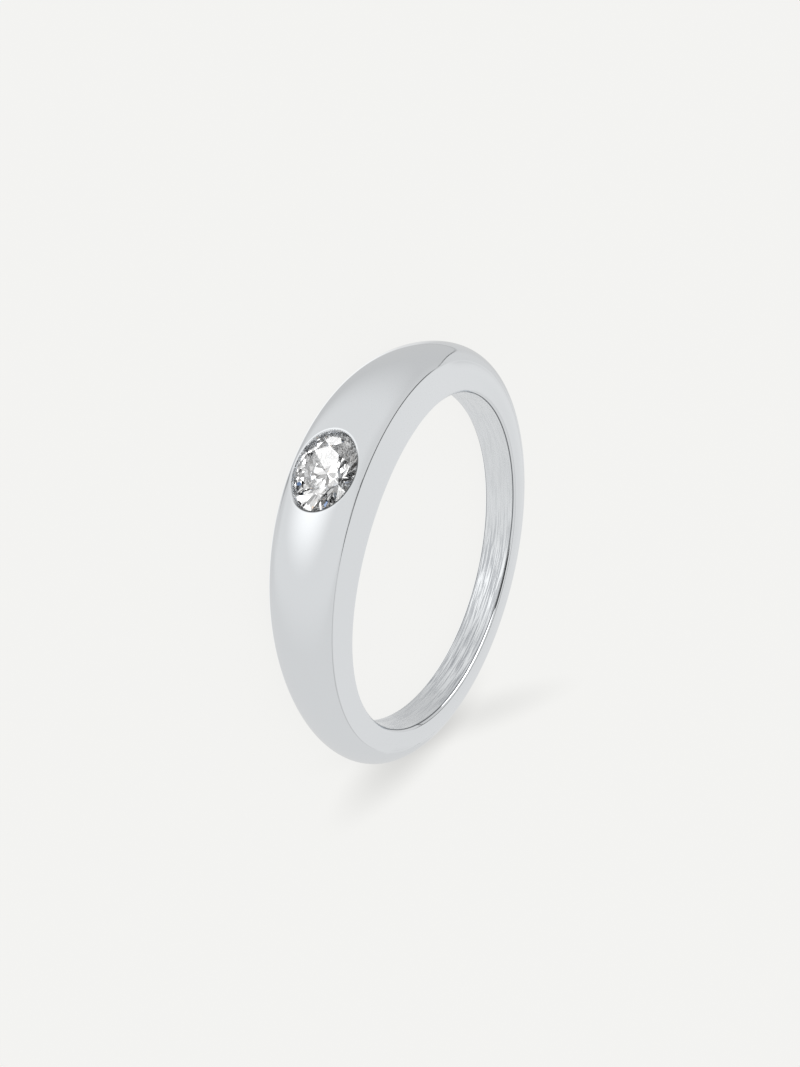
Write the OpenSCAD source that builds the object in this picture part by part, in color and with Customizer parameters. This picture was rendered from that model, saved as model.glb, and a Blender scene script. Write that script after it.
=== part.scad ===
/* [Finger hole] */
// Radius of the finger hole
bore_r = 8.65; // [7.5:0.05:10.5]
// Size of the small chamfer at both ends of the hole
chamfer = 0.13; // [0.06:0.01:0.2]

/* [Width of the band at the hole] */
// Width at the crown, where the stone sits
crown_width = 3.58; // [3.4:0.02:4.2]
// Width at the shoulder, a third of the way round to the back
shoulder_width = 2.66; // [2.4:0.02:3.2]
// Width at the flank, two thirds of the way round
flank_width = 1.94; // [1.8:0.02:2.4]
// Width at the back
back_width = 1.76; // [1.6:0.02:2.2]
// How far a side face leans out for each millimetre away from the hole
flare = 0.05; // [0:0.01:0.1]

/* [Height of the flat side faces] */
// Height at the crown
crown_side = 2.39; // [2.3:0.01:2.8]
// Height at the shoulder
shoulder_side = 1.63; // [1.4:0.01:2]
// Height at the flank
flank_side = 1.07; // [0.9:0.01:1.4]
// Height at the back
back_side = 0.98; // [0.8:0.01:1.3]

/* [Height of the dome above the side faces] */
// Height at the crown
crown_dome = 0.58; // [0.5:0.01:0.8]
// Height at the shoulder
shoulder_dome = 0.74; // [0.6:0.01:0.9]
// Height at the flank
flank_dome = 0.88; // [0.7:0.01:1]
// Height at the back
back_dome = 0.9; // [0.7:0.01:1]
// Angle of the elliptical dome at which it meets the side face in a crisp shoulder line
dome_end = 78; // [72:1:84]

/* [Stone] */
// Length of the oval stone, along the band
stone_length = 3.86; // [3.5:0.02:4]
// Width of the oval stone, across the band
stone_width = 3.04; // [2.8:0.02:3.1]
// Width of the table as a share of the stone
table_share = 0.57; // [0.52:0.01:0.62]
// Slope of the main facets above the girdle, in degrees
crown_slope = 34; // [32:0.5:35]
// Slope of the main facets below the girdle, in degrees
pavilion_slope = 41; // [40:0.5:42]
// Thickness of the girdle
girdle = 0.07; // [0.05:0.01:0.1]
// Depth of the table below the top of the dome
table_depth = 0.02; // [0:0.01:0.05]

/* [Seat] */
// Clearance between the stone and the metal
seat_gap = 0.02; // [0.02:0.005:0.03]
// Width of the bright bevel that runs round the stone
bevel_width = 0.12; // [0.08:0.01:0.14]
// Drop of the bright bevel over its width
bevel_drop = 0.14; // [0.1:0.01:0.16]
// Width of the drilled point under the stone, as a share of the stone
drill_share = 0.2; // [0.15:0.01:0.3]
// Room between the point of the stone and the bottom of the drilled hole
drill_room = 0.1; // [0.05:0.01:0.2]

/* [Hidden] */

// Resolution of the modelled surfaces
band_sections = 96;
dome_steps = 16;
oval_sides = 64;

// How far the modelled skin reaches into the finger hole before the hole is bored
bore_stock = 0.4;

// Eight main facets, with the finer facets between them
mains = 8;
main_pitch = 360 / mains;
star_share = 0.5;
lower_share = 0.77;

// Sizes given at the crown, shoulder, flank and back are carried round the band by a cosine series
function cosine_terms(v) = [
  (v[0] + 2 * v[1] + 2 * v[2] + v[3]) / 6,
  (v[0] + v[1] - v[2] - v[3]) / 3,
  (v[0] - v[1] - v[2] + v[3]) / 3,
  (v[0] - 2 * v[1] + 2 * v[2] - v[3]) / 6
];
function at_angle(terms, a) =
  terms[0] + terms[1] * cos(a) + terms[2] * cos(2 * a) + terms[3] * cos(3 * a);

width_terms = cosine_terms([crown_width, shoulder_width, flank_width, back_width]);
side_terms = cosine_terms([crown_side, shoulder_side, flank_side, back_side]);
dome_terms = cosine_terms([crown_dome, shoulder_dome, flank_dome, back_dome]);

function half_at_hole(a) = at_angle(width_terms, a) / 2;
function side_at(a) = at_angle(side_terms, a);
function dome_at(a) = at_angle(dome_terms, a);
function half_at_shoulder_line(a) = half_at_hole(a) + flare * (side_at(a) - chamfer);

// Rise of the dome, from 0 at the shoulder line to 1 in the middle of the band
function dome_rise(t) = (cos(t) - cos(dome_end)) / (1 - cos(dome_end));

// One section of the band, as distances from the axis of the hole and heights along that axis
function dome_points(a) = [
  for (i = [0 : dome_steps])
    let (t = dome_end * (2 * i / dome_steps - 1))
      [bore_r + side_at(a) + dome_at(a) * dome_rise(t),
       half_at_shoulder_line(a) * sin(t) / sin(dome_end)]
];
function section(a) =
  let (stock_half = half_at_hole(a) - chamfer - bore_stock)
    concat(
      [[bore_r - bore_stock, -stock_half], [bore_r + chamfer, -half_at_hole(a)]],
      dome_points(a),
      [[bore_r + chamfer, half_at_hole(a)], [bore_r - bore_stock, stock_half]]
    );

// The band lies on its lower side, which it touches at the crown and at the back
foot_front = [bore_r + crown_side, -half_at_shoulder_line(0)];
foot_back = [-bore_r - back_side, -half_at_shoulder_line(180)];
rest_tilt = atan2(foot_front[1] - foot_back[1], foot_front[0] - foot_back[0]);
function tilted_x(x, z) = x * cos(rest_tilt) + z * sin(rest_tilt);
function tilted_z(x, z) = z * cos(rest_tilt) - x * sin(rest_tilt);
rest_lift = -tilted_z(foot_front[0], foot_front[1]);

// The stone is cut from a unit round: these are shares of its half width
crown_rise = (1 - table_share) * tan(crown_slope);
pavilion_fall = tan(pavilion_slope);
half_length = stone_length / 2;
half_width = stone_width / 2;
crown_height = crown_rise * half_width;
pavilion_depth = pavilion_fall * half_width;
dome_top = bore_r + crown_side + crown_dome;
girdle_x = dome_top - table_depth - crown_height;

// The ring is centred along its length: the lower edge of the table is the point furthest to the front
front_reach = tilted_x(dome_top - table_depth, -half_width * table_share);
back_reach = min([for (p = section(180)) tilted_x(-p[0], p[1])]);
rest_centre = (front_reach + back_reach) / 2;

// Corners where a star or a lower facet ends, half way between two main facets
half_pitch = main_pitch / 2;
quarter_pitch = main_pitch / 4;
star_reach = table_share * cos(half_pitch) * (1 - star_share) + star_share;
star_rise = crown_rise * (1 - star_reach * cos(half_pitch)) / (1 - table_share);
lower_reach = 1 - lower_share;
lower_fall = pavilion_fall * (1 - lower_reach * cos(half_pitch));

// Height of the girdle's upper edge, which dips where a facet between two main ones crosses it
upper_slope = star_rise / (cos(quarter_pitch) * (1 - star_reach));
lower_slope = lower_fall / (cos(quarter_pitch) * (1 - lower_reach));
function girdle_dip(a, slope) =
  let (off = a % half_pitch - quarter_pitch)
    slope * (cos(off) - cos(quarter_pitch));

// Puts a shape from the frame of the finger hole into the pose in which the band rests
module at_rest() {
  translate([-rest_centre, 0, rest_lift])
    rotate([0, rest_tilt, 0])
      children();
}

// Puts a shape from the stone's own frame, girdle at zero and table up, into the crown of the band
module at_crown() {
  translate([girdle_x, 0, 0])
    rotate(a = 120, v = [1, 1, 1])
      children();
}

// A closed skin through rows of points, each row joined to the next; a closed ring joins its ends
module loft(rows, closed) {
  n = len(rows);
  m = len(rows[0]);
  last = closed ? n - 1 : n - 2;
  walls = [
    for (i = [0 : last], j = [0 : m - 1])
      let (k = (i + 1) % n, l = (j + 1) % m)
        each [[i * m + j, k * m + l, k * m + j], [i * m + j, i * m + l, k * m + l]]
  ];
  lids = closed ? [] : [[for (j = [m - 1 : -1 : 0]) j], [for (j = [0 : m - 1]) (n - 1) * m + j]];
  polyhedron(points = [for (row = rows) each row], faces = concat(walls, lids), convexity = 6);
}

// The domed, tapering skin of the band, before the hole is bored
module band_skin() {
  loft([
    for (i = [0 : band_sections - 1])
      let (a = 360 * i / band_sections)
        [for (p = section(a)) [p[0] * cos(a), p[0] * sin(a), p[1]]]
  ], true);
}

// A row of points round an oval that stands clear of the stone by an offset, at a height
function oval_row(offset, share, height) = [
  for (i = [0 : oval_sides - 1])
    let (a = -360 * i / oval_sides)
      [(half_length * share + offset) * cos(a), (half_width * share + offset) * sin(a), height]
];

// The space cut into the crown: a drilled point and a cone under the stone, a wall round its
// girdle, and the bright bevel
module seat_space() {
  cone_top = -girdle - 2 * seat_gap;
  drill_top = cone_top - pavilion_depth * (1 - drill_share);
  drill_floor = -girdle - pavilion_depth - drill_room;
  wall_top = crown_height - bevel_drop - bevel_width;
  open_height = 2 * crown_height;
  bevel_rate = bevel_width / bevel_drop;
  loft([
    oval_row(seat_gap, drill_share, drill_floor),
    oval_row(seat_gap, drill_share, drill_top),
    oval_row(seat_gap, 1, cone_top),
    oval_row(seat_gap, 1, wall_top),
    oval_row(seat_gap + (open_height - wall_top) * bevel_rate, 1, open_height)
  ], false);
}

// The whole metal part
module band() {
  color("gainsboro")
    at_rest()
      difference() {
        band_skin();
        cylinder(h = 4 * crown_width, r = bore_r, center = true, $fn = 180);
        at_crown() seat_space();
      }
}

// A point of the stone, from its reach as a share of the outline, its angle and its height share
function stone_point(reach, a, rise) =
  [half_length * reach * cos(a), half_width * reach * sin(a), half_width * rise];

// The cut stone: the smallest body round its corners, whose flat faces are the facets
module stone() {
  girdle_share = girdle / half_width;
  main_angles = [for (i = [0 : mains - 1]) i * main_pitch];
  girdle_angles = [for (i = [0 : oval_sides - 1]) i * 360 / oval_sides];
  corners = concat(
    [for (a = main_angles) stone_point(table_share, a, crown_rise)],
    [for (a = main_angles) stone_point(star_reach, a + half_pitch, star_rise)],
    [for (a = girdle_angles) stone_point(1, a, -girdle_dip(a, upper_slope))],
    [for (a = girdle_angles) stone_point(1, a, girdle_dip(a, lower_slope) - girdle_share)],
    [for (a = main_angles) stone_point(lower_reach, a + half_pitch, -girdle_share - lower_fall)],
    [stone_point(0, 0, -girdle_share - pavilion_fall)]
  );
  color("aliceblue")
    at_rest()
      at_crown()
        hull()
          polyhedron(points = corners, faces = [[for (i = [0 : len(corners) - 1]) i]]);
}

band();
stone();
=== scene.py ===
# %% [markdown]
# # A dome ring with a flush-set oval stone
#
# The ring is one solid piece of polished white metal. It is wide and thick at the crown, where an oval
# stone sits level with the surface, and it narrows to a slim back. The outside is domed, the two sides
# are flat, and the finger hole is finely brushed. This lesson rebuilds those looks round a packed CAD
# part, which fixes every size. The ring lies on one side face, as it would on a table.

# %% The packed part
import math

import bmesh
import bpy
from mathutils import Matrix, Quaternion, Vector


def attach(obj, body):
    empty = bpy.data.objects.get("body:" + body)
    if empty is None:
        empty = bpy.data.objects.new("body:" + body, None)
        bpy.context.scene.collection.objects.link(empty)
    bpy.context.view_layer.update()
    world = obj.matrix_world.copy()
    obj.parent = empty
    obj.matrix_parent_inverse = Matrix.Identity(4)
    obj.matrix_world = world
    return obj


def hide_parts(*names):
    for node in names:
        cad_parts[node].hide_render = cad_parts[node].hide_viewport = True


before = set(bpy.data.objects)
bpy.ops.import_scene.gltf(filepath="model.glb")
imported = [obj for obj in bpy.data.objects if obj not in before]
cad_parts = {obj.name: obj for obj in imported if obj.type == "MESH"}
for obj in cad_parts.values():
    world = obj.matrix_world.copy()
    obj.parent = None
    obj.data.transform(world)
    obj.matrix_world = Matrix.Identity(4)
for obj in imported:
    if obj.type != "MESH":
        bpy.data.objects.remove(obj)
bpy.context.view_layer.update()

# %% [markdown]
# ## The camera
#
# The photograph was taken from close by, above the crown, and turned so that the ring seems to stand. A
# camera could be placed by eye, but a polished curve shows every degree of error. So the camera's place,
# aim, roll and lens come from matching the outlines of the ring in the photograph. The place and the aim
# are two points and the roll is one angle, because they are easier to read than a matrix.

# %% The camera
CAMERA_PLACE = Vector((0.063154, 0.016745, 0.039495))
CAMERA_AIM = Vector((0.002115, -0.000305, 0.00138))
CAMERA_ROLL = math.radians(101.92)
LENS_MM = 50.66

camera = bpy.data.objects.new("camera", bpy.data.cameras.new("camera"))
bpy.context.scene.collection.objects.link(camera)
camera.location = CAMERA_PLACE
camera.rotation_mode = "QUATERNION"
level_view = (CAMERA_AIM - CAMERA_PLACE).to_track_quat("-Z", "Y")
camera.rotation_quaternion = level_view @ Quaternion((0, 0, 1), CAMERA_ROLL)
camera.data.lens = LENS_MM
camera.data.sensor_width = 36
camera.data.clip_start = 0.001
bpy.context.scene.camera = camera
looks_down = math.asin(-(level_view @ Vector((0, 0, -1))).z)
print("camera looks down by", round(math.degrees(looks_down), 1), "degrees")

# %% [markdown]
# ## The sizes of the ring
#
# A tapering ring is drawn from a few sizes taken at the crown, at the shoulder a third of the way
# round, at the flank two thirds of the way round, and at the back. Between those places each size
# changes along a smooth cosine curve, so that no flat or kink shows in the polish. These are the sizes
# that the CAD part was made from, in millimetres.

# %% The sizes of the ring, in millimetres
HOLE_R = 8.65
CHAMFER = 0.13
FLARE = 0.05
DOME_END = math.radians(78)


def carried_round(crown, shoulder, flank, back):
    """A size given at four places, as a function of the angle round the ring."""
    terms = (
        (crown + 2 * shoulder + 2 * flank + back) / 6,
        (crown + shoulder - flank - back) / 3,
        (crown - shoulder - flank + back) / 3,
        (crown - 2 * shoulder + 2 * flank - back) / 6,
    )
    return lambda turn: sum(term * math.cos(k * turn) for k, term in enumerate(terms))


width_at_hole = carried_round(3.58, 2.66, 1.94, 1.76)
side_height = carried_round(2.39, 1.63, 1.07, 0.98)
dome_height = carried_round(0.58, 0.74, 0.88, 0.90)


def half_at_shoulder(turn):
    """Half the width of the band at the shoulder line, where the side face ends."""
    return width_at_hole(turn) / 2 + FLARE * (side_height(turn) - CHAMFER)


def dome_rise(slant):
    """Height of the dome, from 0 at the shoulder line to 1 in the middle of the band."""
    return (math.cos(slant) - math.cos(DOME_END)) / (1 - math.cos(DOME_END))


crown_half, back_half = half_at_shoulder(0), half_at_shoulder(math.pi)
crown_foot = HOLE_R + side_height(0)
back_foot = HOLE_R + side_height(math.pi)
dome_top = crown_foot + dome_height(0)
print("widths at the crown and back, mm:", round(2 * crown_half, 2), round(2 * back_half, 2))

# %% [markdown]
# ## The ring at rest
#
# Because the ring tapers, its side faces are not parallel. When it lies down it touches the table at
# the crown and at the back, and its finger hole leans by a few degrees. Every piece is modelled upright
# round the hole first, where the numbers are simple, and one matrix lays it down and turns
# millimetres into metres. The ring is centred from front to back, and its stone reaches furthest to the
# front, so the stone's sizes come first.

# %% The sizes of the stone, in millimetres
STONE_HALF_LENGTH, STONE_HALF_WIDTH = 1.93, 1.52
TABLE_SHARE = 0.57
CROWN_SLOPE, PAVILION_SLOPE = math.radians(34), math.radians(41)
GIRDLE = 0.07
TABLE_DEPTH = 0.02

crown_height = STONE_HALF_WIDTH * (1 - TABLE_SHARE) * math.tan(CROWN_SLOPE)
pavilion_depth = STONE_HALF_WIDTH * math.tan(PAVILION_SLOPE)
girdle_place = dome_top - TABLE_DEPTH - crown_height
print("height above and depth below the girdle, mm:", round(crown_height, 2), round(pavilion_depth, 2))

# %% The matrix that lays the ring down
SLANTS = [math.radians(tenths / 10) for tenths in range(-300, 301)]

lean = math.atan2(back_half - crown_half, crown_foot + back_foot)
lay_down = Matrix.Rotation(lean, 4, "Y")
lowest = (lay_down @ Vector((crown_foot, 0, -crown_half))).z
front = (lay_down @ Vector((dome_top - TABLE_DEPTH, 0, -STONE_HALF_WIDTH * TABLE_SHARE))).x


def reach_behind(slant):
    """How far a point of the dome at the back lies behind the hole, once the ring is laid down."""
    distance = back_foot + dome_height(math.pi) * dome_rise(slant)
    return (lay_down @ Vector((distance, 0, -back_half * math.sin(slant) / math.sin(DOME_END)))).x


behind = -max(reach_behind(slant) for slant in SLANTS)
at_rest = Matrix.Scale(0.001, 4) @ Matrix.Translation((-(front + behind) / 2, 0, -lowest)) @ lay_down
print("lean of the hole, degrees:", round(math.degrees(lean), 3))


# %% Handing a piece over
def finished(form, name):
    """Lays a bmesh down, turns its faces outwards and hands it over as an object."""
    form.transform(at_rest)
    form.normal_update()
    bmesh.ops.recalc_face_normals(form, faces=form.faces)
    print(name, "encloses, cubic mm:", round(form.calc_volume(signed=True) * 1e9, 2))
    mesh = bpy.data.meshes.new(name)
    form.to_mesh(mesh)
    form.free()
    piece = bpy.data.objects.new(name, mesh)
    bpy.context.scene.collection.objects.link(piece)
    print(name, "has", len(mesh.polygons), "faces")
    return piece


# %% [markdown]
# ## The band: a template section, spun
#
# A goldsmith forges or casts the band, then files the sides flat and the outside round. In Blender a
# ring could be a bent bar or a torus, but those make the taper hard to control. Here a D-shaped section
# is drawn once as a template: distance from 0 at the hole to 1 at the shoulder line and 2 at the top
# of the dome, and level from -1 to 1 across the band. The template is spun into an even ring, which
# gives tidy rows of faces all the way round, and only then is each vertex moved to its real place.

# %% The template ring
TEMPLATE_R = 10
TURNS = 360
DOME_STEPS, SIDE_STEPS, WALL_STEPS = 56, 16, 8
WALL = -0.2

half_loop = [(WALL, level / WALL_STEPS) for level in range(1, WALL_STEPS + 1)]
half_loop += [(reach / SIDE_STEPS, 1) for reach in range(SIDE_STEPS)]
for step in range(DOME_STEPS // 2, 0, -1):
    slant = DOME_END * 2 * step / DOME_STEPS
    half_loop.append((1 + dome_rise(slant), math.sin(slant) / math.sin(DOME_END)))
loop = [(WALL, 0)] + half_loop + [(2, 0)] + [(reach, -level) for reach, level in reversed(half_loop)]

band = bmesh.new()
section = [band.verts.new((TEMPLATE_R + reach, 0, level)) for reach, level in loop]
for here, there in zip(section, section[1:] + section[:1]):
    band.edges.new((here, there))
bmesh.ops.spin(
    band, geom=band.verts[:] + band.edges[:], cent=(0, 0, 0), axis=(0, 0, 1),
    angle=math.tau, steps=TURNS, use_merge=True, use_normal_flip=False, use_duplicate=False,
)
bmesh.ops.remove_doubles(band, verts=band.verts, dist=1e-5)
print("template ring:", len(band.verts), "vertices")

# %% [markdown]
# ## The band: taper
#
# Each vertex knows its place in the template, so the real ring is one short function. The hole's wall
# keeps one radius all round, so that a finger fits. The side faces lean out a little, and everything
# beyond them stretches or shrinks with the angle.


# %% The tapered band
def place_round(vertex):
    """A vertex's angle round the ring, its distance from the axis of the hole and its height."""
    return math.atan2(vertex.co.y, vertex.co.x), math.hypot(vertex.co.x, vertex.co.y), vertex.co.z


def move_round(vertex, turn, distance, height):
    vertex.co = (distance * math.cos(turn), distance * math.sin(turn), height)


for vertex in band.verts:
    turn, template_distance, level = place_round(vertex)
    reach = template_distance - TEMPLATE_R
    half = width_at_hole(turn) / 2
    if reach < WALL / 2:
        move_round(vertex, turn, HOLE_R, level * (half - CHAMFER))
    else:
        climb = min(reach, 1) * (side_height(turn) - CHAMFER)
        distance = HOLE_R + CHAMFER + climb + max(reach - 1, 0) * dome_height(turn)
        move_round(vertex, turn, distance, level * (half + FLARE * climb))
print("outside diameter across the stone, mm:", round(dome_top + back_foot + dome_height(math.pi), 2))

# %% [markdown]
# ## The band: soft edges
#
# No polished edge is perfectly sharp: the wheel always rounds it by a few hundredths of a millimetre,
# and that round is what shows as a thin line along the shoulder. A bevel on the sharp loops gives it.
# The shoulder line gets a wider round than the edges of the small chamfer at the hole.

# %% The edges round the hole
SHARP_ANGLE = math.radians(25)
EDGE_MARGIN = 0.01
HOLE_ROUND, HOLE_SEGMENTS = 0.02, 2


def softened(form, edges, width, segments):
    bmesh.ops.bevel(
        form, geom=edges, offset=width, offset_type="OFFSET", affect="EDGES",
        segments=segments, profile=0.5, material=-1, clamp_overlap=True,
    )


def round_the_hole(edge):
    """Whether an edge is a sharp one of the chamfer."""
    near = all(place_round(v)[1] < HOLE_R + CHAMFER + EDGE_MARGIN for v in edge.verts)
    return near and edge.calc_face_angle(0) > SHARP_ANGLE


band.normal_update()
bmesh.ops.recalc_face_normals(band, faces=band.faces)
hole_edges = [edge for edge in band.edges if round_the_hole(edge)]
print("edges softened round the hole:", len(hole_edges))
softened(band, hole_edges, HOLE_ROUND, HOLE_SEGMENTS)

# %% The edges of the shoulder
LINE_MARGIN = 0.001


def on_the_shoulder(edge):
    """Whether an edge lies on the line where the side face meets the dome."""
    ends = [place_round(v) for v in edge.verts]
    return all(abs(distance - HOLE_R - side_height(turn)) < LINE_MARGIN for turn, distance, height in ends)


shoulder_edges = [edge for edge in band.edges if on_the_shoulder(edge)]
print("edges on the two shoulder lines:", len(shoulder_edges))

# %% [markdown]
# ## The band: a shoulder that fades
#
# In front the shoulder is a crisp line, but towards the back the wheel has worn it away, and the side
# flows into the dome. One bevel has one width all round, so it can't do that. Instead each vertex near
# the corner moves inwards along a parabola, which is steep enough to take the corner's whole angle
# away. A share that grows with the angle round the ring says how much of that is done. The bevel comes
# last, so that the crisp stretch gets its narrow round as well.

# %% The fading shoulder
FADE_REACH = 0.6
CRISP_FROM, CRISP_TO, FADE_SPAN = -44, 92, 13
SHOULDER_ROUND, SHOULDER_SEGMENTS = 0.07, 4


def smooth_step(value):
    """Goes smoothly from 0 to 1 as a value does, and stays there beyond."""
    value = min(max(value, 0), 1)
    return value * value * (3 - 2 * value)


def worn_share(turn):
    """Share of the shoulder's corner that is worn away at an angle round the ring."""
    degrees = math.degrees(turn)
    return smooth_step((CRISP_FROM - degrees) / FADE_SPAN) + smooth_step((degrees - CRISP_TO) / FADE_SPAN)


def dome_lean(turn):
    """How steeply the dome falls away from upright where it starts at the shoulder line."""
    slope = half_at_shoulder(turn) / math.tan(DOME_END) * (1 - math.cos(DOME_END)) / math.sin(DOME_END)
    return math.atan(slope / dome_height(turn))


side_lean = math.atan(FLARE)
deepest = 0
for vertex in band.verts:
    turn, distance, height = place_round(vertex)
    from_corner = math.hypot(distance - HOLE_R - side_height(turn), abs(height) - half_at_shoulder(turn))
    if worn_share(turn) > 0 and from_corner < FADE_REACH:
        corner_angle = dome_lean(turn) + side_lean
        inwards = (dome_lean(turn) - side_lean) / 2
        drop = worn_share(turn) * corner_angle * (FADE_REACH - from_corner) ** 2 / (4 * FADE_REACH)
        height -= math.copysign(drop * math.cos(inwards), height)
        move_round(vertex, turn, distance - drop * math.sin(inwards), height)
        deepest = max(deepest, drop)
softened(band, shoulder_edges, SHOULDER_ROUND, SHOULDER_SEGMENTS)
print("most that is worn off the shoulder, mm:", round(deepest, 3))

# %% [markdown]
# ## The seat: a window in the crown
#
# A flush-set stone sits in a hole that is drilled, opened with a cone and rubbed over, so that the rim
# is round and bright. A boolean would cut the hole, but it leaves ragged little faces, and a mirror
# shows them. So a window of faces is taken out of the crown, and its edge is drawn inwards ring by
# ring, from the rectangle of the window to the oval of the rim. Every new vertex is dropped on the true
# dome, so the polish runs on without a ripple.

# %% The window in the crown
WINDOW_TURN, WINDOW_SLANT = math.radians(15), math.radians(67.5)
TURN_MARGIN, DOME_MARGIN = 0.001, 0.05
GUESSES = 6


def on_dome(along, across):
    """The point of the dome over a place that is given along the band and across it."""
    turn = 0
    for guess in range(GUESSES):
        slant = math.asin(across * math.sin(DOME_END) / half_at_shoulder(turn))
        distance = HOLE_R + side_height(turn) + dome_height(turn) * dome_rise(slant)
        turn = math.asin(along / distance)
    return Vector((distance * math.cos(turn), along, across))


def in_window(vertex):
    turn, distance, height = place_round(vertex)
    level = height * math.sin(DOME_END) / half_at_shoulder(turn)
    outside = distance > HOLE_R + side_height(turn) + DOME_MARGIN
    return outside and abs(turn) < WINDOW_TURN + TURN_MARGIN and abs(level) < math.sin(WINDOW_SLANT)


window = [face for face in band.faces if all(in_window(v) for v in face.verts)]
bmesh.ops.delete(band, geom=window, context="FACES")
edge_loop = [edge for edge in band.edges if edge.is_boundary]
print("window: faces taken out", len(window), "edges round it", len(edge_loop))

# %% [markdown]
# ## The seat: rings drawn inwards
#
# The seat follows the sizes of the stone. First come flat rings on the dome and the rim, which is a
# quarter of an ellipse, then the wall round the girdle, the cone under the stone and the drilled point.
# Each ring is the last one extruded, and a vertex keeps the angle that it started with.

# %% How a ring is drawn in
SEAT_GAP = 0.02
RIM_WIDTH, RIM_DEPTH = 0.15, 0.11
FLAT_RINGS, RIM_RINGS = 10, 6


def oval(angle, offset, share=1.0):
    """A place on an oval round the stone, along the band and across it."""
    return (
        (STONE_HALF_LENGTH * share + offset) * math.cos(angle),
        (STONE_HALF_WIDTH * share + offset) * math.sin(angle),
    )


def drawn_in(form, ring, place):
    """Extrudes a ring of vertices, each known by its start and its angle, and moves the new one."""
    edges = {edge for vertex in ring for edge in vertex.link_edges if edge.is_boundary}
    extruded = bmesh.ops.extrude_edge_only(form, edges=list(edges))["geom"]
    moved = {}
    for vertex in (x for x in extruded if isinstance(x, bmesh.types.BMVert)):
        old = next(edge.other_vert(vertex) for edge in vertex.link_edges if edge.other_vert(vertex) in ring)
        moved[vertex] = ring[old]
    for vertex, (start, angle) in moved.items():
        vertex.co = place(start, angle)
    return moved


window_edge = {vertex for edge in edge_loop for vertex in edge.verts}
corner = max((vertex.co for vertex in window_edge), key=lambda co: co.y + co.z)
ring = {
    vertex: (vertex.co.copy(), math.atan2(vertex.co.z / corner.z, vertex.co.y / corner.y))
    for vertex in window_edge
}
print("corner of the window, mm along and across:", round(corner.y, 2), round(corner.z, 2))

# %% The rings on the dome and the rim
for step in range(1, FLAT_RINGS + 1):
    share = step / FLAT_RINGS

    def toward_rim(start, angle):
        along, across = oval(angle, SEAT_GAP + RIM_WIDTH)
        return on_dome(start.y + (along - start.y) * share, start.z + (across - start.z) * share)

    ring = drawn_in(band, ring, toward_rim)
for step in range(1, RIM_RINGS + 1):
    roll = math.radians(90) * step / RIM_RINGS

    def round_rim(start, angle):
        place = on_dome(*oval(angle, SEAT_GAP + RIM_WIDTH * (1 - math.sin(roll))))
        return place - Vector((RIM_DEPTH * (1 - math.cos(roll)), 0, 0))

    ring = drawn_in(band, ring, round_rim)
print("vertices round the rim:", len(ring))

# %% The wall, the cone and the drilled point
DRILL_SHARE, DRILL_ROOM = 0.2, 0.1
cone_top = -GIRDLE - 2 * SEAT_GAP
for share, height in (
    (1, cone_top),
    (DRILL_SHARE, cone_top - pavilion_depth * (1 - DRILL_SHARE)),
    (DRILL_SHARE, -GIRDLE - pavilion_depth - DRILL_ROOM),
):

    def down_the_seat(start, angle):
        return Vector((girdle_place + height, *oval(angle, SEAT_GAP, share)))

    ring = drawn_in(band, ring, down_the_seat)
bmesh.ops.holes_fill(band, edges=[edge for edge in band.edges if edge.is_boundary])
print("open edges left:", len([edge for edge in band.edges if edge.is_boundary]))

# %% The finished band
CREASE_ANGLE = math.radians(24)

band_piece = finished(band, "band_of_polished_metal")
band_piece.data.shade_smooth()
band_piece.data.set_sharp_from_angle(angle=CREASE_ANGLE)
weighted = band_piece.modifiers.new("flat sides stay flat", "WEIGHTED_NORMAL")
weighted.keep_sharp, weighted.mode = True, "FACE_AREA"
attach(band_piece, "root")
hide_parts("band")

# %% [markdown]
# ## The stone
#
# A gem cutter starts from a rounded blank and grinds one flat facet after another against a wheel.
# Blender can do just that: `bisect_plane` slices a mesh and throws away what lies outside. The blank is
# a unit round, because every facet of an oval brilliant comes from a round one that is stretched, and a
# flat face stays flat when it is stretched.

# %% The blank and the wheel
BLANK_SIDES, BLANK_HEIGHT = 96, 4
MAIN_FACETS = 8

stone = bmesh.new()
bmesh.ops.create_cone(
    stone, cap_ends=True, cap_tris=False, segments=BLANK_SIDES, radius1=1, radius2=1, depth=BLANK_HEIGHT,
)


def ground_away(form, point, normal):
    """Grinds one flat facet: what lies beyond the plane goes, and the wound closes."""
    everything = form.verts[:] + form.edges[:] + form.faces[:]
    result = bmesh.ops.bisect_plane(
        form, geom=everything, dist=1e-6, plane_co=point, plane_no=normal, clear_outer=True,
    )
    rim = [x for x in result["geom_cut"] if isinstance(x, bmesh.types.BMEdge)]
    if rim:
        bmesh.ops.contextual_create(form, geom=rim)


def facet_ring(form, *corners, first=0):
    """Grinds a ring of facets, each through three corners given as (reach, angle, height)."""
    for k in range(MAIN_FACETS):
        turn = first + k * math.tau / MAIN_FACETS
        a, b, c = (
            Vector((reach * math.cos(angle + turn), reach * math.sin(angle + turn), height))
            for reach, angle, height in corners
        )
        normal = (b - a).cross(c - a).normalized()
        if normal.dot(a) < 0:
            normal = -normal
        ground_away(form, a, normal)


print("corners round the blank:", len(stone.verts) // 2)

# %% The corners of the facets, as (reach, angle, height)
STAR_SHARE, LOWER_SHARE = 0.5, 0.77
half_pitch = math.pi / MAIN_FACETS
crown_rise = (1 - TABLE_SHARE) * math.tan(CROWN_SLOPE)
pavilion_fall = math.tan(PAVILION_SLOPE)
girdle_share = GIRDLE / STONE_HALF_WIDTH
star_reach = TABLE_SHARE * math.cos(half_pitch) * (1 - STAR_SHARE) + STAR_SHARE
star_height = crown_rise * (1 - star_reach * math.cos(half_pitch)) / (1 - TABLE_SHARE)
lower_reach = 1 - LOWER_SHARE
lower_depth = pavilion_fall * (1 - lower_reach * math.cos(half_pitch))


def upper_girdle(angle):
    return 1, angle, 0


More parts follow.
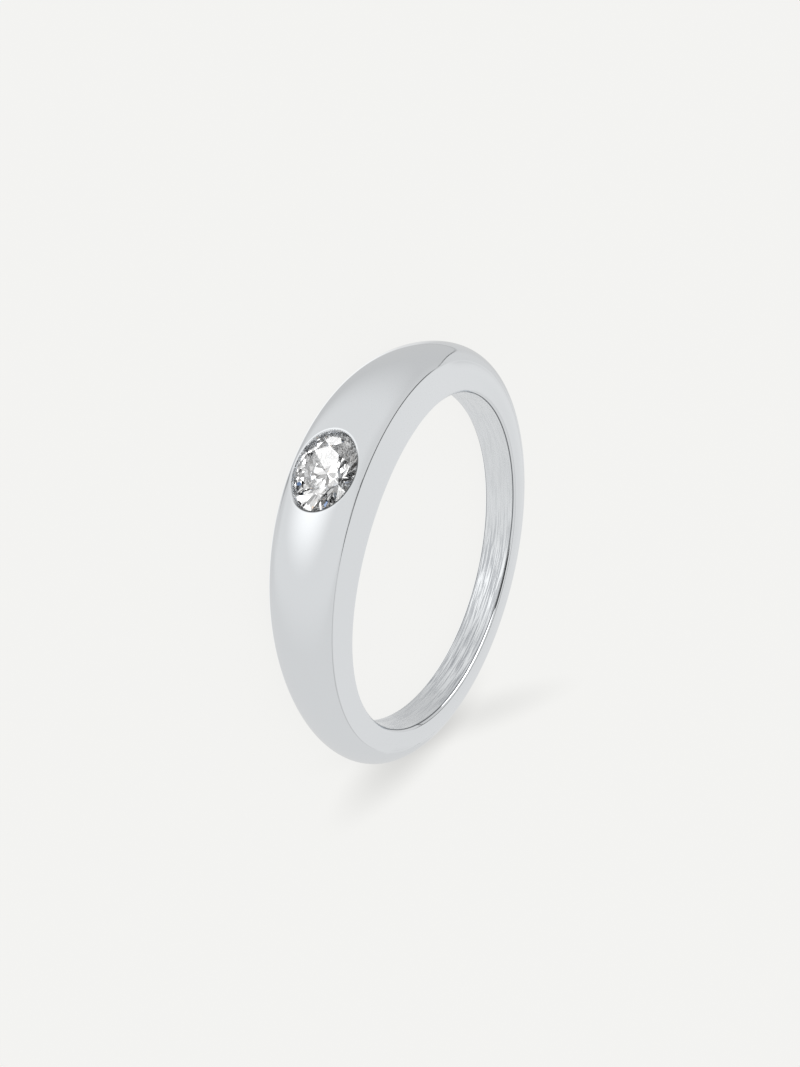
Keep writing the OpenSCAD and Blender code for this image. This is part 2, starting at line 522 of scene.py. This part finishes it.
def lower_girdle(angle):
    return 1, angle, -girdle_share


def table_corner(angle):
    return TABLE_SHARE, angle, crown_rise


def star_tip(angle):
    return star_reach, angle, star_height


def lower_tip(angle):
    return lower_reach, angle, -girdle_share - lower_depth


print("reach of the star facets and the lower facets:", round(star_reach, 3), round(lower_reach, 3))

# %% The cut stone
UPRIGHT_FACE = 0.05
stone_bottom = (0, 0, -girdle_share - pavilion_fall)

ground_away(stone, (0, 0, crown_rise), (0, 0, 1))
facet_ring(stone, upper_girdle(0), table_corner(0), star_tip(half_pitch))
facet_ring(stone, star_tip(0), table_corner(half_pitch), table_corner(-half_pitch), first=half_pitch)
for pitch in (half_pitch, -half_pitch):
    facet_ring(stone, upper_girdle(0), upper_girdle(pitch), star_tip(pitch))
facet_ring(stone, lower_girdle(0), stone_bottom, lower_tip(half_pitch))
for pitch in (half_pitch, -half_pitch):
    facet_ring(stone, lower_girdle(0), lower_girdle(pitch), lower_tip(pitch))
print("facets on the stone:", len([face for face in stone.faces if abs(face.normal.z) > UPRIGHT_FACE]))

# %% The finished stone
stone_size = (STONE_HALF_LENGTH, STONE_HALF_WIDTH, STONE_HALF_WIDTH)
bmesh.ops.scale(stone, verts=stone.verts, vec=stone_size)
table_to_front = Matrix(((0, 0, 1, 0), (1, 0, 0, 0), (0, 1, 0, 0), (0, 0, 0, 1)))
at_crown = Matrix.Translation((girdle_place, 0, 0)) @ table_to_front
stone.transform(at_crown)
stone_piece = finished(stone, "cut_oval_stone")
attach(stone_piece, "root")
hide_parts("stone")

# %% [markdown]
# ## Shader maths as arithmetic
#
# A material is a small program made of nodes. Written out one node at a time it is long and hard to
# read, so one small class wraps a socket: adding or multiplying two of them makes the Math node. Any
# other kind of node comes from `node`, which takes its settings and what goes into its sockets.


# %% A socket that can be added and multiplied
class Dial:
    """One output socket of a node tree."""

    def __init__(self, socket):
        self.socket, self.tree = socket, socket.id_data

    def maths(self, operation, *values):
        return node(self.tree, "Math", {"operation": operation}, dict(enumerate(values)))

    def __add__(self, other):
        return self.maths("ADD", self, other)

    def __sub__(self, other):
        return self.maths("SUBTRACT", self, other)

    def __rsub__(self, other):
        return self.maths("SUBTRACT", other, self)

    def __mul__(self, other):
        return self.maths("MULTIPLY", self, other)

    def __truediv__(self, other):
        return self.maths("DIVIDE", self, other)

    __radd__, __rmul__ = __add__, __mul__

    def between(self, start, end, low=0.0, high=1.0):
        """Goes smoothly from low to high as this value goes from start to end."""
        sockets = {"Value": self, "From Min": start, "From Max": end, "To Min": low, "To Max": high}
        return node(self.tree, "MapRange", {"interpolation_type": "SMOOTHSTEP"}, sockets)

    def within(self, starts, full, fades, gone):
        """Rises from 0 to 1 between the first two values and falls back between the last two."""
        return self.between(starts, full) * self.between(fades, gone, 1, 0)

    def moved_to(self, goal, share):
        """Goes from this value to a goal as a share goes from 0 to 1."""
        return self + share * (goal - self)


def node(tree, kind, settings=None, sockets=None, out=0):
    """Makes one node, sets it up, feeds its sockets with values or Dials and returns an output."""
    made = tree.nodes.new("ShaderNode" + kind)
    for name, value in (settings or {}).items():
        setattr(made, name, value)
    for name, value in (sockets or {}).items():
        if isinstance(value, Dial):
            tree.links.new(value.socket, made.inputs[name])
        else:
            made.inputs[name].default_value = value
    return Dial(made.outputs[out])


print("a Dial can do:", ", ".join(name.strip("_") for name in vars(Dial) if callable(vars(Dial)[name])))

# %% [markdown]
# ## Polished metal with a brushed hole
#
# The outside was buffed to a mirror. The hole was rubbed with a fine abrasive on a stick that turned in
# it, so the scratches run round the hole and are short and broken. Two materials could be given to two
# sets of faces, but one material with a mask is simpler: the distance from the axis of the hole says
# which finish a point has. The pattern reads Object coordinates, which a Mapping node turns upright
# again, in millimetres.


# %% The metal: upright coordinates
def new_material(name):
    """An empty material and its node tree."""
    material = bpy.data.materials.new(name)
    material.use_nodes = True
    material.node_tree.nodes.clear()
    return material, material.node_tree


def seen_from(tree, frame_matrix):
    """Object coordinates turned into the frame in which a piece was modelled."""
    back = frame_matrix.inverted()
    return node(tree, "Mapping", {"vector_type": "POINT"}, {
        "Vector": node(tree, "TexCoord", out="Object"),
        "Location": back.to_translation(), "Rotation": back.to_euler(), "Scale": back.to_scale(),
    })


metal, tree = new_material("polished_metal")
upright = seen_from(tree, at_rest)
print("nodes that turn the ring upright:", len(tree.nodes))

# %% The metal: inside or outside
BRUSH_STARTS, BRUSH_ENDS = HOLE_R + 0.001, HOLE_R + 0.008


def split(dial, kind="SeparateXYZ"):
    """The three numbers that a vector or a colour is made of."""
    first = node(dial.tree, kind, {}, {0: dial})
    return [Dial(socket) for socket in first.socket.node.outputs]


def length(dial):
    return node(dial.tree, "VectorMath", {"operation": "LENGTH"}, {0: dial}, out="Value")


def flat_length(first, second):
    """Length of the vector that two numbers make."""
    return length(node(first.tree, "CombineXYZ", {}, {"X": first, "Y": second}))


x, y, z = split(upright)
from_axis = flat_length(x, y)
brushed = 1 - from_axis.between(BRUSH_STARTS, BRUSH_ENDS)
print("nodes that say where a point is:", len(tree.nodes))

# %% [markdown]
# ## The brushed hole
#
# Scratches could be drawn as an image, but noise never repeats and has no seam. Coordinates that are
# squeezed round the hole and stretched across it turn plain noise into streaks, and two sizes of streak
# look less even than one. The scratches are plain under the crown and at the back, and faint on the
# flanks between.

# %% The metal: scratches in the hole
FINE_SHARE = 0.75
SCRATCH_DEPTH = 0.00002


def streaks(scale_round, scale_across, detail):
    """Noise that is drawn out round the hole."""
    places = {"X": x * scale_round, "Y": y * scale_round, "Z": z * scale_across}
    squeezed = node(tree, "CombineXYZ", {}, places)
    return node(tree, "TexNoise", {}, {"Vector": squeezed, "Scale": 1.0, "Detail": detail, "Roughness": 0.6})


fine, broad = streaks(0.5, 15, 2), streaks(0.3, 6, 2)
grain = fine.between(0.46, 0.59) * FINE_SHARE + broad.between(0.4, 0.6) * (1 - FINE_SHARE)
rubbed = y.between(-7, -2, 0.15, 1) * y.between(4, 7.5, 1, 0.3)
scratched = node(tree, "Bump", {}, {
    "Strength": 0.5, "Distance": SCRATCH_DEPTH, "Height": grain * rubbed * brushed,
})
print("share of the fine scratches:", FINE_SHARE)

# %% [markdown]
# ## Painted shade lines in the metal
#
# Where the brushed hole meets the polished chamfer, and under the rim of the stone, a thin line of shade
# shows. It could be modelled as a groove, but it is far thinner than one face, so the shade is painted
# as a dark tint. Under the rim the painted shadow shows on one side only, at the lower right of the camera's
# view.


# %% The metal: painted shade lines
def mixed(factor, first, second):
    """A colour between two colours."""
    return node(factor.tree, "Mix", {"data_type": "RGBA"}, {0: factor, 6: first, 7: second}, out=2)


# Dark tints that paint the shade in the crease and the shadow under the rim of the stone.
CREASE_SHADE_TINT, SEAT_SHADOW_TINT = (0.22, 0.23, 0.24, 1), (0.16, 0.165, 0.17, 1)
SEAT_SHADOW_FADE = 0.03

# Painted shade: a dark tint along the crease where the brushed hole meets the chamfer.
painted_crease_shade = from_axis.within(BRUSH_STARTS, HOLE_R + 0.006, HOLE_R + 0.035, HOLE_R + 0.05)
from_stone = flat_length(y / (STONE_HALF_LENGTH + SEAT_GAP), z / (STONE_HALF_WIDTH + SEAT_GAP))
# Painted shadow: a dark tint on the wall and rim under the stone, only along one side.
shadow_under_rim = from_stone.between(1.035, 1.06, 1, 0) * x.between(girdle_place - SEAT_SHADOW_FADE, girdle_place)
painted_seat_shadow = shadow_under_rim * (y + z * 1.3).between(0.2, 1.2)
print("nodes with the dark lines:", len(tree.nodes))

# %% The metal: colour and finish
POLISHED_TINT, BRUSHED_TINT = (0.905, 0.928, 0.953, 1), (0.955, 0.978, 1, 1)
SCRATCH_TINT = (0.53, 0.55, 0.58, 1)


def shown(tree, kind, shader):
    """Links a shader to the output of its tree."""
    output = tree.nodes.new("ShaderNodeOutput" + kind)
    tree.links.new(shader.socket, output.inputs["Surface"])
    print("nodes of this", kind.lower() + ":", len(tree.nodes))


tint = mixed(brushed, POLISHED_TINT, BRUSHED_TINT)
tint = mixed(brushed * grain * rubbed, tint, SCRATCH_TINT)
# The painted shade in the crease and the painted shadow under the rim darken the tint.
tint = mixed(painted_crease_shade, tint, CREASE_SHADE_TINT)
tint = mixed(painted_seat_shadow, tint, SEAT_SHADOW_TINT)
handling = node(tree, "TexNoise", {}, {"Vector": upright, "Scale": 0.9, "Detail": 3.0})
polished_roughness = handling.between(0.35, 0.7, 0.05, 0.08)
brushed_roughness = grain.between(0, 1, 0.18, 0.36)
shader = node(tree, "BsdfPrincipled", {}, {
    "Base Color": tint, "Roughness": polished_roughness.moved_to(brushed_roughness, brushed),
    "Metallic": 1.0, "Normal": scratched,
})
shown(tree, "Material", shader)
band_piece.data.materials.append(metal)

# %% [markdown]
# ## The stone's material
#
# A colourless stone is all refraction: light bends in, is mirrored by the facets below and comes out
# again. A high index of refraction does that work, so the facets must be true and the surface smooth.
# Only the girdle, the narrow edge that the wheel leaves, is a little frosted.

# %% The stone's material
FROST_EDGE = 0.015

gem, tree = new_material("cut_stone")
upright = seen_from(tree, at_rest @ at_crown)
height = split(upright)[2]
at_girdle = height.between(-GIRDLE - FROST_EDGE, -GIRDLE) * (1 - height.between(0, FROST_EDGE))
frosting = node(tree, "TexNoise", {}, {"Vector": upright, "Scale": 30.0, "Detail": 2.0})
shader = node(tree, "BsdfPrincipled", {}, {
    "Base Color": mixed(at_girdle, (1, 1, 1, 1), (0.9, 0.92, 0.93, 1)),
    "Roughness": at_girdle * frosting.between(0.3, 0.7, 0.2, 0.4),
    "Transmission Weight": 1.0, "IOR": 2.42,
})
shown(tree, "Material", shader)
stone_piece.data.materials.append(gem)

# %% [markdown]
# ## The floor
#
# The photograph has a plain warm-white ground with almost no shadow, as on a light table whose glass
# glows from below. So nearly all of the floor's brightness is its own light. It is hidden from glossy
# rays, because the metal in the photograph mirrors the studio and not a near floor. The one faint
# shade in the photograph comes from a ring that stands, and a ring that lies can't cast it, so two soft
# ovals take a little off the glow.

# %% The floor: a sheet
FLOOR_REACH = 3

ground = bmesh.new()
bmesh.ops.create_grid(ground, x_segments=1, y_segments=1, size=FLOOR_REACH)
floor_mesh = bpy.data.meshes.new("floor")
ground.to_mesh(floor_mesh)
ground.free()
floor = bpy.data.objects.new("floor", floor_mesh)
bpy.context.scene.collection.objects.link(floor)
floor.visible_glossy = floor.visible_transmission = False
print("floor, metres from its middle to an edge:", max(corner.co.x for corner in floor_mesh.vertices))

# %% The floor: its glow
FLOOR_COLOUR = (0.9, 0.898, 0.882, 1)
GLOW = 0.95
own_colour = (*(channel * (1 - GLOW) for channel in FLOOR_COLOUR[:3]), 1)

floor_material, tree = new_material("floor")
place = node(tree, "TexCoord", out="Object")


def soft_shade(middle, turn, radii, depth):
    """A soft oval shade on the glass: its middle and radii in millimetres, and its turn in degrees."""
    inside = node(tree, "Mapping", {"vector_type": "TEXTURE"}, {
        "Vector": place, "Location": (0.001 * middle[0], 0.001 * middle[1], 0),
        "Rotation": (0, 0, math.radians(turn)), "Scale": (0.001 * radii[0], 0.001 * radii[1], 1),
    })
    return length(inside).between(0, 1, depth, 0)


broad_shade = soft_shade(middle=(-8.9, 8.0), turn=44.8, radii=(9.1, 2.9), depth=0.249)
long_shade = soft_shade(middle=(-13.8, 5.2), turn=24.6, radii=(16.8, 1.7), depth=0.126)
shade = broad_shade + long_shade
shader = node(tree, "BsdfPrincipled", {}, {
    "Base Color": own_colour, "Roughness": 1.0, "Specular IOR Level": 0.0,
    "Emission Color": mixed(shade, FLOOR_COLOUR, (0, 0, 0, 1)), "Emission Strength": GLOW,
})
shown(tree, "Material", shader)
floor_mesh.materials.append(floor_material)

# %% [markdown]
# ## The studio
#
# Polished metal has hardly any colour of its own: it shows the room. Lamps and cards could be built as
# objects, but each would show in the picture or shade the table, so the room is painted by direction on
# the world background. Azimuth is measured round the ring from the crown, and elevation up from the
# table, both in degrees. In the photograph the dome mirrors a soft white room, a grey card at the side
# and a lamp below the stone.

# %% The studio: directions
world = bpy.data.worlds.new("studio")
bpy.context.scene.world = world
world.use_nodes = True
tree = world.node_tree
tree.nodes.clear()
direction = node(tree, "TexCoord", out="Generated")
east, north, up = split(direction)
azimuth = east.maths("ARCTAN2", north, east) * math.degrees(1)
elevation = up.maths("ARCSINE", up) * math.degrees(1)


def off_centre(middle, radii):
    """Distance from the middle of a round lamp, which is 1 at its edge; both given in degrees."""
    sideways, upwards = (azimuth - middle[0]) / radii[0], (elevation - middle[1]) / radii[1]
    return sideways.maths("SQRT", sideways * sideways + upwards * upwards)


print("nodes that give the direction:", len(tree.nodes))

# %% The studio: white room, grey card and lamp
WHITE, SIDE_DROP, HIGH_DROP = 0.739, 0.055, 0.06
GREY_DROP, LAMP_RISE = 0.156, 0.374

card_edge = elevation.between(-15, 8, -126.5, -121.5) + elevation.between(9, 30, 0, -7)
past_edge = azimuth - card_edge
behind_card = past_edge.between(-1, 1, 1, 0)
grey_card = azimuth.between(-98, -54, 1, 0) * (1 - behind_card) * elevation.between(11, 53, 1, 0)
lamp = off_centre(middle=(5.5, -24.7), radii=(39, 36)).between(0, 1, 1, 0)

room = WHITE - azimuth.between(48, 87) * SIDE_DROP
room = room - elevation.between(15, 50) * azimuth.between(-40, 0, 1, 0) * HIGH_DROP
room = room - grey_card * GREY_DROP + lamp * LAMP_RISE
print("tones of the white room, grey card and lamp:", WHITE, WHITE - GREY_DROP, WHITE + LAMP_RISE)

# %% The studio: low and far tones
LOW_SIDE_DROP, FAR_LOW_DROP = 0.16, 0.13
FAR_HIGH_RISE, FAR_MIDDLE_RISE, RIM_RISE = 0.03, 0.04, 0.24

under_table = elevation.between(-80, -66, 1, 0) * azimuth.between(20, 80, 0.09, 0.03)
low_side = elevation.within(-86, -78, -78, -68) * azimuth.within(-150, -130, -70, -50)
room = room - under_table - low_side * LOW_SIDE_DROP

far_low = azimuth.between(-158, -148) * elevation.between(-34, -28)
far_high = azimuth.between(-172, -157) * elevation.between(15, 30, 1, 0)
far_middle = azimuth.between(-158, -150) * elevation.within(-10, 5, 24, 34)
room = room - behind_card * far_low * FAR_LOW_DROP
room = room + behind_card * far_high * FAR_HIGH_RISE
room = room + behind_card * far_middle * FAR_MIDDLE_RISE

rim_light = azimuth.between(-137, -129, 1, 0) + azimuth.between(166, 178) * 0.6
room = room + rim_light * elevation.within(-64, -58, -41, -35) * RIM_RISE
print("nodes after the low and far tones:", len(tree.nodes))

# %% [markdown]
# ## What the thin lines see
#
# The shoulder line shows dark in the photograph although its metal is as bright as the rest. Its round
# sweeps through a wide angle in a few hundredths of a millimetre, so it sees things that the broad
# faces never see: a black card and a pale one, high behind the ring. The edge of the grey card is a
# thin dark strip, and it draws the last stretch of the line, where the shoulder starts to fade.

# %% The studio: the black card, the pale card and the dark strip
BLACK_DROP, PALE_DROP = 0.78, 0.22

strip = past_edge.within(-1.6, -0.4, 0.2, 1.0) * elevation.between(32, 38, 1, 0)
room = room * (1 - strip * elevation.between(-12, 8, 0.2, 0.8))

black_foot = azimuth.between(-182, -150, 46, 25.5) + azimuth.between(-147, -138, 0, -0.8)
black_side = (azimuth + elevation.between(22, 32, 8, 0)).between(-131, -128, 1, 0)
black_card = black_side * azimuth.between(-179, -175)
black_card = black_card * (elevation - black_foot).between(-1, 4) * elevation.between(66, 74, 1, 0)

pale_sides = azimuth.between(-176.5, -175, 1, 0) + azimuth.between(158, 160)
pale_foot = azimuth.between(160, 180, 36, 21) * azimuth.between(0, 1) + azimuth.between(-1, 0, 1, 0) * 19.5
pale_card = pale_sides * (elevation - pale_foot).between(0, 2) * elevation.between(60, 66, 1, 0)
room = room * (1 - black_card * BLACK_DROP) * (1 - pale_card * PALE_DROP)
print("nodes after the cards:", len(tree.nodes))

# %% [markdown]
# ## What the stone sees
#
# A stone sparkles when it stands among many small lamps and dark gaps, because each facet picks one of
# them. Cells of a Voronoi pattern give every direction its own lamp, and smaller cells make a few of
# them blue or orange, like the flashes of a real stone. After five mirrorings a ray has met so many
# facets that the lamps only make fine noise, so late rays get one even tone.

# %% The studio: lamps for the stone
LAMP_SHIFT = (10.5, 2, 0)
LAMP_CELLS, FLASH_CELLS = 5.5, 16.0
EVEN_TONE = 0.44

rays = node(tree, "LightPath").socket.node
seen, glossy, sharp, through, depth = (
    Dial(rays.outputs[name])
    for name in ("Is Camera Ray", "Is Glossy Ray", "Is Singular Ray", "Is Transmission Ray", "Ray Depth")
)
shifted = node(tree, "VectorMath", {"operation": "ADD"}, {0: direction, 1: LAMP_SHIFT})


def cells(scale):
    """Three random numbers for each cell of directions."""
    colour = node(tree, "TexVoronoi", {"feature": "F1"}, {"Vector": shifted, "Scale": scale}, out="Color")
    return split(colour, "SeparateColor")


chance = cells(LAMP_CELLS)[0]
warm, shine, cold = cells(FLASH_CELLS)
mirrored = glossy * sharp
sparkle = 0.02 + chance.between(0.34, 0.62) * 0.98 + chance.between(0.74, 0.78) * 2.03
sparkle = sparkle * (1 - mirrored * (0.5 - shine))
sparkle = sparkle + off_centre(middle=(-17, -29), radii=(1, 1)).between(5, 8, 1.07, 0)
sparkle = sparkle.moved_to(EVEN_TONE, depth.between(5, 6))
of_stone = through.maths("MAXIMUM", through, mirrored)
print("even tone for late rays:", EVEN_TONE)

# %% [markdown]
# ## Who sees what
#
# One background serves four kinds of ray. The camera sees a plain pale wall, the floor gets even white
# light, polish sees the painted room, and the stone sees its lamps. The Light Path node tells the rays
# apart. Light in a cut stone is mirrored many times. Blender follows four mirrorings unless it is told
# otherwise, and the stone would turn black, so the limits are raised.

# %% The studio: light
PLAIN_WALL = 0.9
BLUE, ORANGE = (0.35, 0.56, 1, 1), (1, 0.68, 0.42, 1)

strength = 1 + glossy * (room - 1)
strength = strength.moved_to(sparkle, of_stone)
strength = strength.moved_to(PLAIN_WALL, seen)
fire = mixed(of_stone * through * cold.between(0.98, 0.985), (1, 1, 0.995, 1), BLUE)
fire = mixed(of_stone * through * warm.between(0.02, 0.025, 1, 0), fire, ORANGE)
shown(tree, "World", node(tree, "Background", {}, {"Color": fire, "Strength": strength}))
bpy.context.scene.view_settings.view_transform = "Standard"
paths = bpy.context.scene.cycles
paths.max_bounces, paths.glossy_bounces, paths.transmission_bounces = 24, 16, 24

# %% [markdown]
# ## The lamp and the flag over the hole
#
# The narrow chamfer round the finger hole bends like a spoon, so it gathers what stands close above the
# ring. A small panel lamp there draws the white line along the lower right of the hole, and a black
# flag beside it draws the dark one above. Both are seen in the polish alone.

# %% The lamp
PANEL_PLACE, PANEL_AIM = Vector((-0.0063, -0.0065, 0.0134)), Vector((-0.0086, 0.0034, 0.0019))
PANEL_TURN, PANEL_TONE, PANEL_SPREAD = math.radians(-57), 0.6, math.radians(80)
PANEL_WIDTH, PANEL_LENGTH = 0.0018, 0.0115


def only_in_polish(thing):
    """Links a thing to the scene, and hides it from all rays but the mirrored ones."""
    bpy.context.scene.collection.objects.link(thing)
    thing.visible_camera = thing.visible_diffuse = thing.visible_transmission = thing.visible_shadow = False


panel_light = bpy.data.lights.new("panel", "AREA")
panel_light.shape, panel_light.size, panel_light.size_y = "RECTANGLE", PANEL_WIDTH, PANEL_LENGTH
panel_light.energy = PANEL_TONE * math.pi * panel_light.size * panel_light.size_y
panel_light.spread = PANEL_SPREAD
panel = bpy.data.objects.new("panel", panel_light)
panel.location = PANEL_PLACE
panel.rotation_mode = "QUATERNION"
facing = (PANEL_AIM - PANEL_PLACE).to_track_quat("-Z", "Y")
panel.rotation_quaternion = facing @ Quaternion((0, 0, 1), PANEL_TURN)
only_in_polish(panel)
print("panel lamp, milliwatts:", round(1000 * panel_light.energy, 3))

# %% The flag
FLAG_PLACE, FLAG_SIZE = (-0.0043, -0.0008, 0.013), (0.0024, 0.0028, 1, 1)

flag_form = bmesh.new()
bmesh.ops.create_grid(flag_form, x_segments=1, y_segments=1, size=0.5)
flag_form.transform(Matrix.Translation(FLAG_PLACE) @ Matrix.Diagonal(FLAG_SIZE))
flag_mesh = bpy.data.meshes.new("flag")
flag_form.to_mesh(flag_mesh)
flag_form.free()
flag = bpy.data.objects.new("flag", flag_mesh)
only_in_polish(flag)
flag_material, tree = new_material("flag")
shader = node(tree, "BsdfPrincipled", {}, {
    "Base Color": (0.02, 0.02, 0.02, 1), "Roughness": 1.0, "Specular IOR Level": 0.0,
})
shown(tree, "Material", shader)
flag_mesh.materials.append(flag_material)
